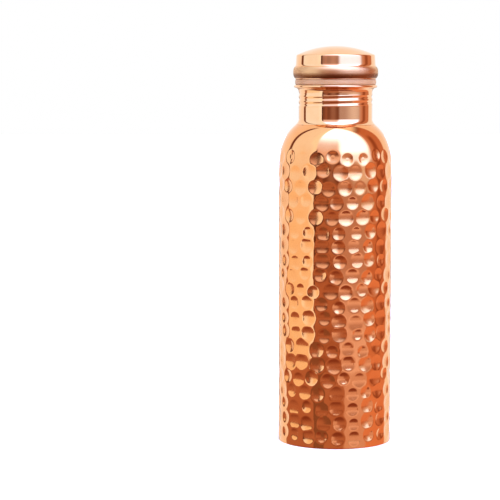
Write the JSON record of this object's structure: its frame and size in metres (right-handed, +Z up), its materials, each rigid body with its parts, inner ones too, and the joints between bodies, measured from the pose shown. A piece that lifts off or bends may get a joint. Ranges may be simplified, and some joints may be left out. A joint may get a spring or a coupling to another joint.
{
  "type": "water bottle",
  "caption": "Hammered copper water bottle with a round shoulder, a threaded neck and a domed screw cap with a knurled ring and a silicone gasket.",
  "frame": {"origin": "centre of the foot, on the surface that the bottle stands on", "axes": "+Z up along the bottle's axis, from the foot to the cap; +X and +Y are any two directions square to it, because the bottle is round"},
  "size_m": [0.075, 0.075, 0.2627],
  "materials": {
    "hammered_copper": "hammered and polished copper",
    "polished_copper": "mirror-polished copper",
    "base_copper": "pressed copper, lightly worn",
    "knurled_copper": "knurled copper",
    "plug_copper": "satin copper",
    "braze": "brazing filler metal",
    "silicone": "translucent silicone rubber"
  },
  "bodies": {
    "bottle": {"body_shell": "hammered_copper", "neck_collar": "polished_copper", "neck_braze": "polished_copper", "base_dish": "base_copper", "base_braze": "braze"},
    "seal": {"gasket": "silicone"},
    "cap": {"cap_shell": "polished_copper", "knurled_ring": "knurled_copper", "cap_braze": "braze", "plug_cup": "plug_copper", "plug_braze": "braze"}
  },
  "joints": [
    {"name": "cap_lift", "type": "slide", "parent": "bottle", "child": "seal", "axis": [0, 0, 1], "range_m": [0, 0.02101]},
    {"name": "cap_turn", "type": "hinge", "parent": "seal", "child": "cap", "pos_m": [0, 0, 0.2372], "axis": [0, 0, 1], "range_deg": [0, 2160]}
  ],
  "couplings": [
    {"joint": "cap_lift", "follows": "cap_turn", "m_per_rad": 0.00055704}
  ]
}
